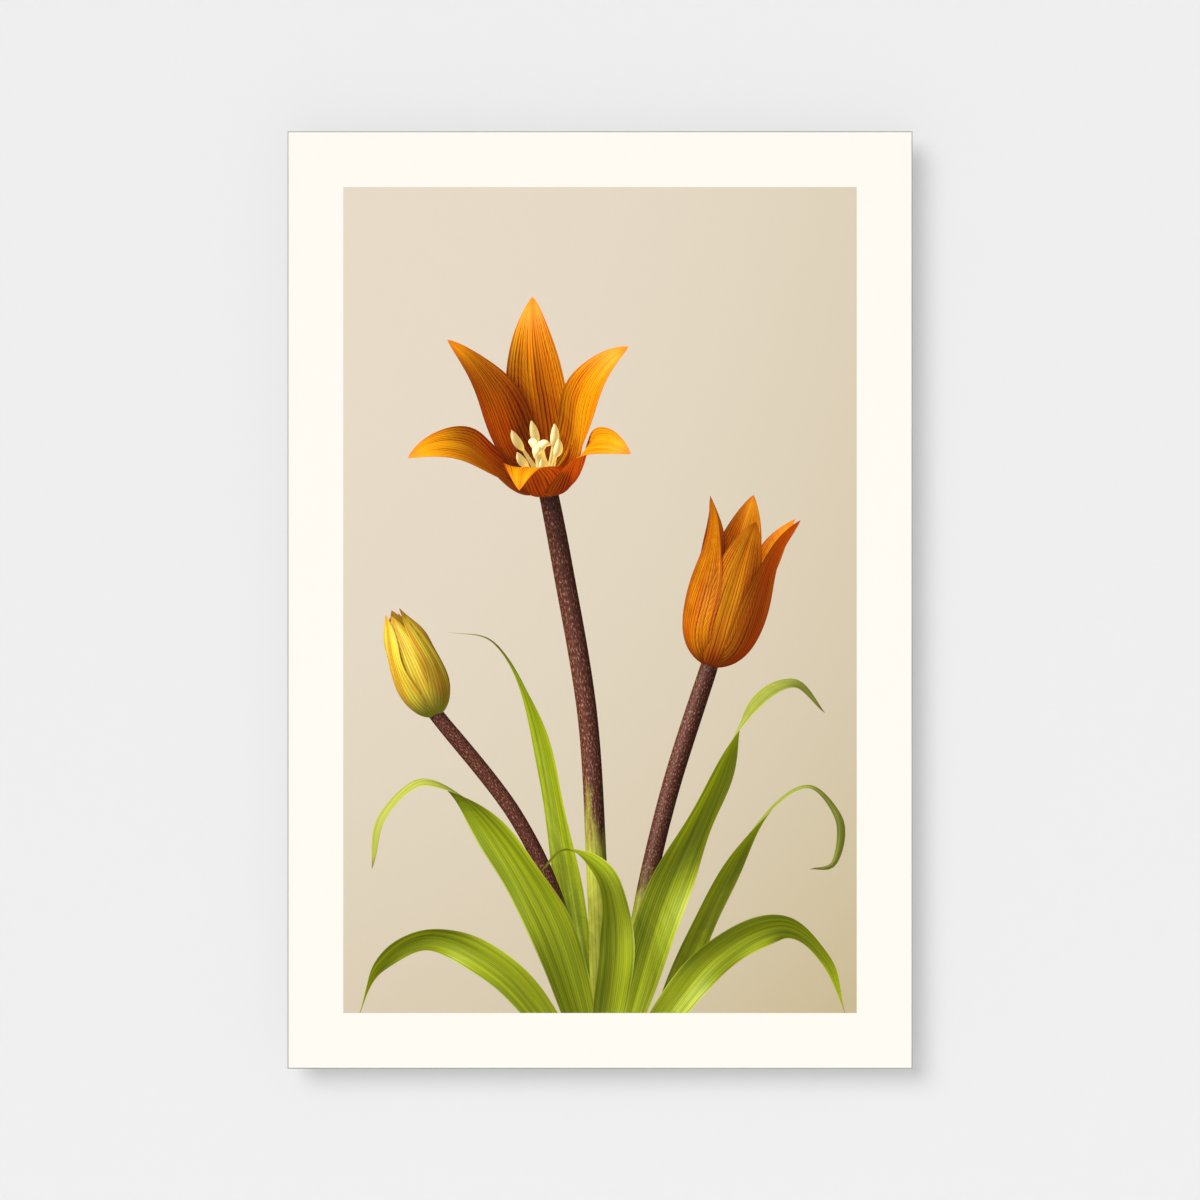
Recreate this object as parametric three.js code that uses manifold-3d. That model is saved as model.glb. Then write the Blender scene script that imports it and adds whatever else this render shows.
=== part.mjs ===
// A portrait art print, mounted to hang clear of a wall. The paper is bonded to a thin aluminium
// composite panel. A smaller frame of mitred aluminium channels is taped to the panel's back, and the
// top channel hooks over screws in the wall.
//
// Millimetres. The picture faces -Y, +X is to the right of someone looking at it, and +Z is up.
// The origin is the middle of the top rail's rear face.

import * as THREE from "three";
import { mergeVertices } from "three/addons/utils/BufferGeometryUtils.js";
import Module from "manifold-3d";

const wasm = await Module();
wasm.setup();

// Panel and print. The thicknesses are sums of powers of two, so that faces that touch share one plane.
const PANEL_WIDTH = 400;
const PANEL_HEIGHT = 600;
const SKIN_THICKNESS = 0.25;
const CORE_THICKNESS = 2.5;
const PAPER_THICKNESS = 0.5;
const FILM_THICKNESS = 0.125;
const PAPER_INSET = 0.6;
const FILM_INSET = 1;

// Rear frame. Each rail is a channel that opens towards the middle of the panel.
const FRAME_INSET = 60;
const RAIL_WIDTH = 20;
const RAIL_DEPTH = 15;
const RAIL_WALL = 1.5;
const RAIL_LIP = 3;
const MITRE_GAP = 0.2;

// Bonding tape under the rails.
const TAPE_THICKNESS = 1;
const TAPE_WIDTH = 16;
const TAPE_GAP = 1;

// Angle keys inside the channels, and their countersunk screws.
const KEY_THICKNESS = 3;
const KEY_WIDTH = 15;
const KEY_REACH = 48;
const KEY_CHAMFER = 2.5;
const SCREW_FROM_CORNER = 32;
const SCREW_LENGTH = 6;
const SCREW_SHANK_RADIUS = 1.5;
const SCREW_HEAD_RADIUS = 2.75;
const SCREW_TIP_CHAMFER = 0.4;
const SCREW_SINK = 0.1;
const SOCKET_ACROSS_FLATS = 2;
const SOCKET_DEPTH = 1.1;
const FIT_GAP = 0.2;

// Rubber bumpers on the side rails.
const BUMPER_RADIUS = 6;
const BUMPER_HEIGHT = 2;
const BUMPER_ROUND = 0.8;
const BUMPER_FROM_CORNER = 66;

const ROUND_SEGMENTS = 32;
const RIM_STEPS = 3;
const CUT_OVERRUN = 2;

// Derived places. The frame's outline is centred on the panel, and its top rail's centre line is Z = 0.
const FRAME_WIDTH = PANEL_WIDTH - 2 * FRAME_INSET;
const FRAME_HEIGHT = PANEL_HEIGHT - 2 * FRAME_INSET;
const RAIL_MIDDLE = RAIL_WIDTH / 2;
const CENTRE_Z = RAIL_MIDDLE - FRAME_HEIGHT / 2;
const TAPE_REAR_Y = -RAIL_DEPTH;
const PANEL_REAR_Y = TAPE_REAR_Y - TAPE_THICKNESS;
const CORE_REAR_Y = PANEL_REAR_Y - SKIN_THICKNESS;
const FRONT_SKIN_REAR_Y = CORE_REAR_Y - CORE_THICKNESS;
const FILM_REAR_Y = FRONT_SKIN_REAR_Y - SKIN_THICKNESS;
const PAPER_REAR_Y = FILM_REAR_Y - FILM_THICKNESS;
const TAPE_MARGIN = (RAIL_WIDTH - TAPE_WIDTH) / 2;
const KEY_MARGIN = (RAIL_WIDTH - KEY_WIDTH) / 2;

const paper = () => new THREE.MeshStandardMaterial({ color: 0xfffbf2, roughness: 0.9, metalness: 0 });
const film = () => new THREE.MeshStandardMaterial({ color: 0xe8e6df, roughness: 0.5, metalness: 0 });
const aluminium = () => new THREE.MeshStandardMaterial({ color: 0xb2b3ae, roughness: 0.4, metalness: 1 });
const blackCore = () => new THREE.MeshStandardMaterial({ color: 0x1b1b1c, roughness: 0.6, metalness: 0 });
const foamTape = () => new THREE.MeshStandardMaterial({ color: 0x3a3b3d, roughness: 0.85, metalness: 0 });
const zinc = () => new THREE.MeshStandardMaterial({ color: 0x8f9296, roughness: 0.45, metalness: 1 });
const steel = () => new THREE.MeshStandardMaterial({ color: 0xa7a8aa, roughness: 0.3, metalness: 1 });
const rubber = () => new THREE.MeshStandardMaterial({ color: 0x242424, roughness: 0.8, metalness: 0 });

function named(name, geometry, material) {
  const mesh = new THREE.Mesh(geometry, material);
  mesh.name = name;
  return mesh;
}

function toSolid(geometry) {
  const bare = geometry.index ? geometry.toNonIndexed() : geometry.clone();
  bare.deleteAttribute("normal");
  bare.deleteAttribute("uv");
  const merged = mergeVertices(bare);
  const mesh = new wasm.Mesh({
    numProp: 3,
    vertProperties: new Float32Array(merged.attributes.position.array),
    triVerts: new Uint32Array(merged.index.array),
  });
  return new wasm.Manifold(mesh);
}

function toGeometry(solid) {
  const mesh = solid.getMesh();
  const geometry = new THREE.BufferGeometry();
  geometry.setAttribute("position", new THREE.BufferAttribute(new Float32Array(mesh.vertProperties), 3));
  geometry.setIndex(new THREE.BufferAttribute(new Uint32Array(mesh.triVerts), 1));
  return geometry;
}

// The geometry with every tool cut out of it.
function cut(geometry, tools) {
  const solid = tools.reduce((left, tool) => left.subtract(toSolid(tool)), toSolid(geometry));
  return toGeometry(solid);
}

// A flat sheet of the panel, seen from behind its rear face.
function layer(name, inset, thickness, rearY, material) {
  const size = [PANEL_WIDTH - 2 * inset, thickness, PANEL_HEIGHT - 2 * inset];
  const mesh = named(name, new THREE.BoxGeometry(...size), material);
  mesh.position.set(0, rearY - thickness / 2, CENTRE_Z);
  return mesh;
}

function mountedPanel() {
  const group = new THREE.Group();
  group.add(layer("print_sheet", PAPER_INSET, PAPER_THICKNESS, PAPER_REAR_Y, paper()));
  group.add(layer("adhesive_film", FILM_INSET, FILM_THICKNESS, FILM_REAR_Y, film()));
  group.add(layer("panel_front_skin", 0, SKIN_THICKNESS, FRONT_SKIN_REAR_Y, aluminium()));
  group.add(layer("panel_core", 0, CORE_THICKNESS, CORE_REAR_Y, blackCore()));
  group.add(layer("panel_rear_skin", 0, SKIN_THICKNESS, PANEL_REAR_Y, aluminium()));
  return group;
}

// Outline of a countersunk screw's body, or of the hole for it when grown by a gap. X is the radius, and
// Y = 0 is the face that the head lies in.
function screwOutline(grow, topY, tipY) {
  const headY = -SCREW_SINK;
  const coneHeight = SCREW_HEAD_RADIUS - SCREW_SHANK_RADIUS;
  const shank = SCREW_SHANK_RADIUS + grow;
  const head = SCREW_HEAD_RADIUS + grow;
  const tip = grow > 0 ? shank : shank - SCREW_TIP_CHAMFER;
  const points = [
    new THREE.Vector2(0, tipY),
    new THREE.Vector2(tip, tipY),
    new THREE.Vector2(shank, tipY + SCREW_TIP_CHAMFER),
    new THREE.Vector2(shank, headY - coneHeight),
    new THREE.Vector2(head, headY),
  ];
  if (topY > headY) {
    points.push(new THREE.Vector2(head, topY));
  }
  points.push(new THREE.Vector2(0, topY));
  return points;
}

function screwGeometry() {
  const body = new THREE.LatheGeometry(screwOutline(0, -SCREW_SINK, -SCREW_LENGTH), ROUND_SEGMENTS);
  const socketRadius = SOCKET_ACROSS_FLATS / Math.sqrt(3);
  const socket = new THREE.CylinderGeometry(socketRadius, socketRadius, 2 * SOCKET_DEPTH, 6);
  socket.translate(0, -SCREW_SINK, 0);
  return cut(body, [socket]);
}

function screwHole(x, z) {
  const outline = screwOutline(FIT_GAP, CUT_OVERRUN, -SCREW_LENGTH - CUT_OVERRUN);
  return new THREE.LatheGeometry(outline, ROUND_SEGMENTS).translate(x, 0, z);
}

// The channel's cross section. X runs from the outer wall towards the opening, and Y = 0 is the rear face.
function railProfile() {
  const profile = new THREE.Shape();
  profile.moveTo(0, -RAIL_DEPTH);
  profile.lineTo(RAIL_WIDTH, -RAIL_DEPTH);
  profile.lineTo(RAIL_WIDTH, -RAIL_DEPTH + RAIL_WALL);
  profile.lineTo(RAIL_WALL, -RAIL_DEPTH + RAIL_WALL);
  profile.lineTo(RAIL_WALL, -RAIL_WALL);
  profile.lineTo(RAIL_WIDTH - RAIL_WALL, -RAIL_WALL);
  profile.lineTo(RAIL_WIDTH - RAIL_WALL, -RAIL_WALL - RAIL_LIP);
  profile.lineTo(RAIL_WIDTH, -RAIL_WALL - RAIL_LIP);
  profile.lineTo(RAIL_WIDTH, 0);
  profile.lineTo(0, 0);
  return profile;
}

// Slides both ends of a bar along X to a 45 degree mitre. The bar's outer wall is at Z = 0, and it opens
// towards -Z.
function mitre(geometry, length) {
  const position = geometry.attributes.position;
  for (let i = 0; i < position.count; i += 1) {
    const half = length / 2 - MITRE_GAP / 2 + position.getZ(i);
    position.setX(i, Math.sign(position.getX(i)) * half);
  }
  return geometry;
}

// A rail along X with its outer wall at Z = 0, cut for the screws of the keys at both its ends.
function railGeometry(length) {
  const bar = new THREE.ExtrudeGeometry(railProfile(), { depth: length, bevelEnabled: false });
  bar.translate(0, 0, -length / 2).rotateY(Math.PI / 2);
  const screwX = length / 2 - SCREW_FROM_CORNER;
  return cut(mitre(bar, length), [screwHole(-screwX, -RAIL_MIDDLE), screwHole(screwX, -RAIL_MIDDLE)]);
}

// A disc with a rounded rim, standing on Y = 0.
function bumperGeometry() {
  const outline = new THREE.Path();
  outline.moveTo(0, 0);
  outline.lineTo(BUMPER_RADIUS, 0);
  outline.absarc(BUMPER_RADIUS - BUMPER_ROUND, BUMPER_HEIGHT - BUMPER_ROUND, BUMPER_ROUND, 0, Math.PI / 2);
  outline.lineTo(0, BUMPER_HEIGHT);
  return new THREE.LatheGeometry(outline.getPoints(RIM_STEPS), ROUND_SEGMENTS);
}

// One side of the rear frame in its own axes: X along the rail, Z = 0 at its outer wall, -Z inwards.
function frameSide(name, length, tapeLength) {
  const side = new THREE.Group();
  side.add(named(`rail_${name}`, railGeometry(length), aluminium()));
  const strip = new THREE.BoxGeometry(tapeLength, TAPE_THICKNESS, TAPE_WIDTH);
  const tape = named(`tape_${name}`, strip, foamTape());
  tape.position.set(0, TAPE_REAR_Y - TAPE_THICKNESS / 2, -RAIL_MIDDLE);
  side.add(tape);
  return side;
}

// An angle key in its own axes: the frame's outer corner is X = Z = 0, and the legs run along +X and -Z.
function keyGeometry() {
  const inner = KEY_MARGIN + KEY_WIDTH;
  const outline = new THREE.Shape();
  outline.moveTo(KEY_MARGIN + KEY_CHAMFER, KEY_MARGIN);
  outline.lineTo(KEY_REACH, KEY_MARGIN);
  outline.lineTo(KEY_REACH, inner);
  outline.lineTo(inner, inner);
  outline.lineTo(inner, KEY_REACH);
  outline.lineTo(KEY_MARGIN, KEY_REACH);
  outline.lineTo(KEY_MARGIN, KEY_MARGIN + KEY_CHAMFER);
  const plate = new THREE.ExtrudeGeometry(outline, { depth: KEY_THICKNESS, bevelEnabled: false });
  plate.rotateX(-Math.PI / 2).translate(0, -RAIL_WALL - KEY_THICKNESS, 0);
  const holes = [screwHole(SCREW_FROM_CORNER, -RAIL_MIDDLE), screwHole(RAIL_MIDDLE, -SCREW_FROM_CORNER)];
  return cut(plate, holes);
}

function corner(name) {
  const group = new THREE.Group();
  group.add(named(`corner_key_${name}`, keyGeometry(), zinc()));
  const screwPlaces = [["a", SCREW_FROM_CORNER, RAIL_MIDDLE], ["b", RAIL_MIDDLE, SCREW_FROM_CORNER]];
  for (const [label, x, depth] of screwPlaces) {
    const screw = named(`key_screw_${name}_${label}`, screwGeometry(), steel());
    screw.position.set(x, 0, -depth);
    group.add(screw);
  }
  return group;
}

function place(group, x, z, quarterTurns) {
  group.position.set(x, 0, z);
  group.rotation.y = (quarterTurns * Math.PI) / 2;
  return group;
}

// Four bumpers on the rear faces of the side rails, above and below their keys' screws.
function bumpers() {
  const group = new THREE.Group();
  for (const [sideName, xSign] of [["left", -1], ["right", 1]]) {
    for (const [endName, zSign] of [["upper", 1], ["lower", -1]]) {
      const bumper = named(`bumper_${endName}_${sideName}`, bumperGeometry(), rubber());
      bumper.position.x = xSign * (FRAME_WIDTH / 2 - RAIL_MIDDLE);
      bumper.position.z = CENTRE_Z + zSign * (FRAME_HEIGHT / 2 - BUMPER_FROM_CORNER);
      group.add(bumper);
    }
  }
  return group;
}

function rearFrame() {
  const group = new THREE.Group();
  const top = CENTRE_Z + FRAME_HEIGHT / 2;
  const bottom = CENTRE_Z - FRAME_HEIGHT / 2;
  const right = FRAME_WIDTH / 2;
  const tapeAcross = FRAME_WIDTH - 2 * TAPE_MARGIN;
  const tapeUp = FRAME_HEIGHT - 2 * (TAPE_MARGIN + TAPE_WIDTH + TAPE_GAP);
  group.add(place(frameSide("top", FRAME_WIDTH, tapeAcross), 0, top, 0));
  group.add(place(frameSide("right", FRAME_HEIGHT, tapeUp), right, CENTRE_Z, 1));
  group.add(place(frameSide("bottom", FRAME_WIDTH, tapeAcross), 0, bottom, 2));
  group.add(place(frameSide("left", FRAME_HEIGHT, tapeUp), -right, CENTRE_Z, 3));
  group.add(place(corner("top_left"), -right, top, 0));
  group.add(place(corner("top_right"), right, top, 1));
  group.add(place(corner("bottom_right"), right, bottom, 2));
  group.add(place(corner("bottom_left"), -right, bottom, 3));
  return group;
}

const mountedPrint = new THREE.Group();
mountedPrint.add(mountedPanel(), rearFrame(), bumpers());

export default mountedPrint;
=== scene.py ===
"""A mounted art print, 400 by 600 mm: a paper print with a botanical picture, on a thin composite panel.

The picture is made here. Tulips and leaves are modelled as curved sheets and tubes in picture space, lit
with rays, and then drawn flat on the paper: the sheet's front face is cut along every visible outline, and
its corners hold the light that falls on the plant there. Node materials add veins, streaks and speckles.

Picture space is in millimetres: X to the right from the middle of the picture, Y up from its lower edge, and
Z out of the picture towards the viewer. Everything else is in metres, in the CAD frame.
"""

import math

import bmesh
import bpy
import numpy as np
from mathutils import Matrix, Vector
from mathutils.bvhtree import BVHTree
from mathutils.geometry import delaunay_2d_cdt


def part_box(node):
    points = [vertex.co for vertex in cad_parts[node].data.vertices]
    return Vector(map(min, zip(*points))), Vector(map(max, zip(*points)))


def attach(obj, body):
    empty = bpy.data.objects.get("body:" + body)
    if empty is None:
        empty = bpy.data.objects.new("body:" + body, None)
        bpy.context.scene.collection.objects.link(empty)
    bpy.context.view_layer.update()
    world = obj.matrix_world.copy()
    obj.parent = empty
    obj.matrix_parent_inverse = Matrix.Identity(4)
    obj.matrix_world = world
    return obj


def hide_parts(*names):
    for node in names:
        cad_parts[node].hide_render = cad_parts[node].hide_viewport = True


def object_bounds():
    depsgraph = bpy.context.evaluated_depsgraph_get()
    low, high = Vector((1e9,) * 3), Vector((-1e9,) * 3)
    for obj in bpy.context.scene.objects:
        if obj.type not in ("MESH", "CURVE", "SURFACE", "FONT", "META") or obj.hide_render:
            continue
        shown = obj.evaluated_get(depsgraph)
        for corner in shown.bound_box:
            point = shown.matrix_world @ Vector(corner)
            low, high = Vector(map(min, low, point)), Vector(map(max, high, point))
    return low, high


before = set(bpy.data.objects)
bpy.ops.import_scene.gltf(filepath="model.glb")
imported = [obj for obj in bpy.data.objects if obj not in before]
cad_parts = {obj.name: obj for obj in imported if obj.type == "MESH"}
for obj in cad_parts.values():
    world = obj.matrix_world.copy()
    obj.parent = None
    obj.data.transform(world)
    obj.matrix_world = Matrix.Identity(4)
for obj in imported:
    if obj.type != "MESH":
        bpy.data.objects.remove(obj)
CAD_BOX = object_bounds()

MM = 0.001
TINY = 1e-9                     # a length or an area that counts as nothing

# The printed sheet.
PICTURE_MARGIN = 35.7 * MM      # from the panel's edge to the picture
SHEET_CHAMFER = 0.12 * MM
BACK_ON_MAP = 0.4               # size of the sheet's back on its map, against its front
SIDE_SPREAD = 0.1               # how far the sides stand out round the back there

# The view: a long lens, level with the middle of the print.
PHOTO_WIDTH = 1200
SHEET_WIDTH_IN_PHOTO = 625.1    # pixels across the panel
LENS = 120.0
SENSOR = 36.0

# The room.
WALL_GREY = 0.775
FLOOR_GREY = 0.86
PAINT_BLOTCH = 0.997            # the darkest part of a painted surface, against its grey
FLOOR_DROP = 1.05               # from the middle of the print to the floor
STAGE_SIZE = 9.0

# The lamps: how bright each makes a white, upright surface, and how many degrees across it is.
KEY_LEVEL, KEY_WIDTH = 0.385, 38.0
FILL_LEVEL, FILL_WIDTH = 0.495, 30.0
REAR_LEVEL, REAR_WIDTH = 0.60, 50.0

# The sky.
SKY = 0.18                      # all round
REAR_SKY = 1.10                 # behind the wall, for what lies open to it
REAR_SKY_FROM = 0.3             # Y of the directions from which on it is that bright
BACKDROP = 0.86                 # what the camera sees past the wall and floor


# ---- Colours ----

def linear(red, green, blue):
    """A display colour of 0 to 255 as linear light."""
    values = np.array([red, green, blue]) / 255.0
    return np.where(values <= 0.04045, values / 12.92, ((values + 0.055) / 1.055) ** 2.4)


PRINT_GAIN = 0.90               # paper white times this gives the ink's reflectance
PAPER = linear(255, 251, 242)
GROUND_LIGHT = linear(231, 219, 200)
GROUND_DARK = linear(201, 184, 144)


# ---- Node materials ----

MIX_FIRST, MIX_SECOND, MIX_RESULT = 6, 7, 2     # the sockets of a Mix node that hold colours


class Value:
    """A node's output. Arithmetic with it adds Math nodes."""

    def __init__(self, nodes, socket):
        self.nodes = nodes
        self.socket = socket

    def __add__(self, other):
        return self.nodes.math("ADD", self, other)

    def __sub__(self, other):
        return self.nodes.math("SUBTRACT", self, other)

    def __rsub__(self, other):
        return self.nodes.math("SUBTRACT", other, self)

    def __mul__(self, other):
        return self.nodes.math("MULTIPLY", self, other)

    def __pow__(self, other):
        return self.nodes.math("POWER", self, other)

    def __abs__(self):
        return self.nodes.math("ABSOLUTE", self)


class Nodes:
    """Adds nodes to a material or a world. What a call gives is the output of the last node that it adds."""

    def __init__(self, owner):
        owner.use_nodes = True
        self.tree = owner.node_tree

    def plug(self, socket, value):
        """Gives a node's input a link, a number, or the numbers of a colour or vector."""
        if isinstance(value, Value):
            self.tree.links.new(value.socket, socket)
        elif isinstance(value, (int, float)):
            socket.default_value = value
        else:
            wanted = len(socket.default_value)
            socket.default_value = ([float(x) for x in value] + [1.0])[:wanted]

    def add(self, kind, inputs=(), output=0, **settings):
        """A node with these settings. inputs holds values by the socket's name or number."""
        node = self.tree.nodes.new("ShaderNode" + kind)
        for name, value in settings.items():
            setattr(node, name, value)
        for socket, value in dict(inputs).items():
            self.plug(node.inputs[socket], value)
        return Value(self, node.outputs[output])

    def math(self, operation, first, second=0.0):
        return self.add("Math", {0: first, 1: second}, operation=operation)

    def ramp(self, value, start, end, shape="LINEAR"):
        """0 at start and 1 at end, and level beyond them."""
        ends = {"Value": value, "From Min": start, "From Max": end}
        return self.add("MapRange", ends, "Result", interpolation_type=shape)

    def step(self, value, low, high):
        """0 below low and 1 above high, with a smooth rise between them."""
        return self.ramp(value, low, high, "SMOOTHSTEP")

    def band(self, value, low, high):
        """1 below low, 0 above high."""
        return 1.0 - self.step(value, low, high)

    def mix(self, factor, first, second, blend="MIX"):
        inputs = {"Factor": factor, MIX_FIRST: first, MIX_SECOND: second}
        return self.add("Mix", inputs, MIX_RESULT, data_type="RGBA", blend_type=blend)

    def multiply(self, first, second):
        return self.mix(1.0, first, second, "MULTIPLY")

    def shaded(self, colour, shade):
        return self.multiply(colour, self.vector(shade, shade, shade))

    def vector(self, x, y, z):
        return self.add("CombineXYZ", {0: x, 1: y, 2: z})

    def split(self, vector):
        node = self.add("SeparateXYZ", {0: vector}).socket.node
        return [Value(self, output) for output in node.outputs]

    def noise(self, vector, scale, detail=2.0, roughness=0.5):
        inputs = {"Vector": vector, "Scale": scale, "Detail": detail, "Roughness": roughness}
        return self.add("TexNoise", inputs, "Fac")

    def attribute(self, name, output):
        return self.add("Attribute", output=output, attribute_name=name)

    def place(self):
        """The point in the object's own coordinates, in metres."""
        return self.add("TexCoord", output="Object")


class Material(Nodes):
    """A material with one Principled shader."""

    def __init__(self, name, roughness, metallic=0.0, specular=0.5):
        self.material = bpy.data.materials.new(name)
        super().__init__(self.material)
        self.shader = self.tree.nodes["Principled BSDF"]
        self.set("Roughness", roughness)
        self.set("Metallic", metallic)
        self.set("Specular IOR Level", specular)

    def set(self, name, value):
        self.plug(self.shader.inputs[name], value)

    def bump(self, height, distance, strength):
        inputs = {"Height": height, "Distance": distance, "Strength": strength}
        self.set("Normal", self.add("Bump", inputs))


# ---- Picture: curved sheets and tubes ----

VIEW = np.array([0.0, 0.0, 1.0])
CURVE_STEPS = 24                # between two points of a curve, before it is spaced evenly


def normalised(vectors):
    return vectors / np.maximum(np.linalg.norm(vectors, axis=-1, keepdims=True), TINY)


def profile(keys, u):
    """A smooth value along u, from (place, value) keys."""
    places, values = np.array(keys, dtype=float).T
    slopes = np.gradient(values, places)
    index = np.clip(np.searchsorted(places, u, side="right") - 1, 0, len(places) - 2)
    span = places[index + 1] - places[index]
    t = np.clip((u - places[index]) / span, 0, 1)
    start = (1 + 2 * t) * (1 - t) ** 2 * values[index] + t * (1 - t) ** 2 * span * slopes[index]
    end = t * t * (3 - 2 * t) * values[index + 1] + t * t * (t - 1) * span * slopes[index + 1]
    return start + end


def smooth_curve(points, steps):
    """A smooth curve through the points, as steps + 1 places evenly spaced along it."""
    last = len(points) - 1
    u = np.linspace(0, last, last * CURVE_STEPS + 1)
    fine = [profile(list(enumerate(values)), u) for values in np.transpose(points)]
    along = np.concatenate([[0], np.cumsum(np.linalg.norm(np.diff(fine), axis=0))])
    wanted = np.linspace(0, along[-1], steps + 1)
    return np.stack([np.interp(wanted, along, values) for values in fine], axis=1)


def borders(grid):
    return grid[:, 0], grid[:, -1], grid[0], grid[-1]


class Sheet:
    """One surface of a plant: a grid of points, u along it from 0 to 1 and v across it from -1 to 1."""

    def __init__(self, kind, points, seed):
        self.kind = kind
        self.points = points
        self.seed = seed
        along, across = np.gradient(points, axis=0), np.gradient(points, axis=1)
        self.normals = normalised(np.cross(across, along))
        rows, columns = points.shape[:2]
        u, v = np.meshgrid(np.linspace(0, 1, rows), np.linspace(-1, 1, columns), indexing="ij")
        self.uv = np.stack([u, v], axis=-1)

    def triangles(self):
        rows, columns = self.points.shape[:2]
        index = np.arange(rows * columns).reshape(rows, columns)
        a, b = index[:-1, :-1].ravel(), index[:-1, 1:].ravel()
        c, d = index[1:, 1:].ravel(), index[1:, :-1].ravel()
        return np.concatenate([np.stack([a, b, c], 1), np.stack([a, c, d], 1)])

    def outlines(self):
        """Segments and their normals: its edges, and the folds where it turns from the viewer."""
        segments = [np.stack([line[:-1], line[1:]], 1) for line in borders(self.points)]
        normals = [0.5 * (line[:-1] + line[1:]) for line in borders(self.normals)]
        points, facing = self.points.reshape(-1, 3), self.normals.reshape(-1, 3)
        corner = self.triangles()
        sides = np.stack([corner, np.roll(corner, -1, axis=1)], axis=2)
        folded = (facing[sides, 2] > 0).sum(2) == 1
        start, end = sides[folded].T
        share = (facing[start, 2] / (facing[start, 2] - facing[end, 2]))[:, None]
        segments.append((points[start] * (1 - share) + points[end] * share).reshape(-1, 2, 3))
        normals.append(facing[corner[folded.any(1)]].mean(1))
        return np.concatenate(segments), normalised(np.concatenate(normals))


def laid_along(spine, steps):
    """Even places along a curve: how far along, the points, and the directions sideways and outward."""
    curve = smooth_curve(spine, steps)
    tangent = normalised(np.gradient(curve, axis=0))
    level = normalised(np.cross(tangent, VIEW))
    return np.linspace(0, 1, steps + 1), curve, level, np.cross(level, tangent)


# The outline of a leaf and of a petal: the powers that it widens and narrows by, how blunt its tip is, and
# what its width is divided by.
LEAF_OUTLINE = (0.45, 0.85, 0.0005, 0.58)
PETAL_OUTLINE = (0.50, 0.84, 0.0004, 0.63)
FOOT = 0.03                     # added to the place along it, so that its foot has some width


def half_width(u, width, outline):
    widens, narrows, blunt, divisor = outline
    return width * (u + FOOT) ** widens * (1.0 - u + blunt) ** narrows / divisor


LEAF_STEPS, LEAF_COLUMNS = 90, 23
LEAF_TROUGH = 0.3               # how far its edges stand over its middle, against its half width
LEAF_WAVES = 3.0


def leaf(spine, width, twist, ripple, seed):
    """A long blade. twist is in degrees at even steps along it: 0 shows the viewer its upper face."""
    u, curve, level, outward = laid_along(spine, LEAF_STEPS)
    turn = np.radians(profile(list(zip(np.linspace(0, 1, len(twist)), twist)), u))[:, None]
    side = np.cos(turn) * level + np.sin(turn) * outward
    front = np.cos(turn) * outward - np.sin(turn) * level
    half = half_width(u, width, LEAF_OUTLINE)[:, None]
    v = np.linspace(-1, 1, LEAF_COLUMNS)
    swing = (np.sin(math.tau * LEAF_WAVES * u + seed) * np.sin(np.pi * u))[:, None]
    wave = ripple * swing * np.abs(v) ** 2.4 * np.where(v > 0, 1.0, -0.7)
    lift = LEAF_TROUGH * half * (np.sqrt(v**2 + 0.02) - 0.14) + wave
    points = curve[:, None] + side[:, None] * (v * half)[..., None] + front[:, None] * lift[..., None]
    return Sheet("leaf", points, seed)


def tube(kind, spine, radii, seed, steps, around):
    """A round stem. radii are (place, radius) keys along it, and the seam is at the back."""
    u, curve, level, outward = laid_along(spine, steps)
    angle = np.pi * np.linspace(-1, 1, around + 1)[:, None]
    ring = np.sin(angle) * level[:, None] + np.cos(angle) * outward[:, None]
    return Sheet(kind, curve[:, None] + profile(radii, u)[:, None, None] * ring, seed)


PETAL_STEPS, PETAL_COLUMNS = 46, 31
TIGHTEST_BEND = 6.0             # least radius of a petal's curve round the flower's axis
PETAL_CREASE = 1.0              # height of the fold along a petal's middle
CREASE_WIDTH = 0.16             # against the petal's half width
PETAL_RIPPLE = 4.0              # height of the waves along its edges
RIPPLE_WAVES = 11.0             # radians from its foot to its tip


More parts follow.
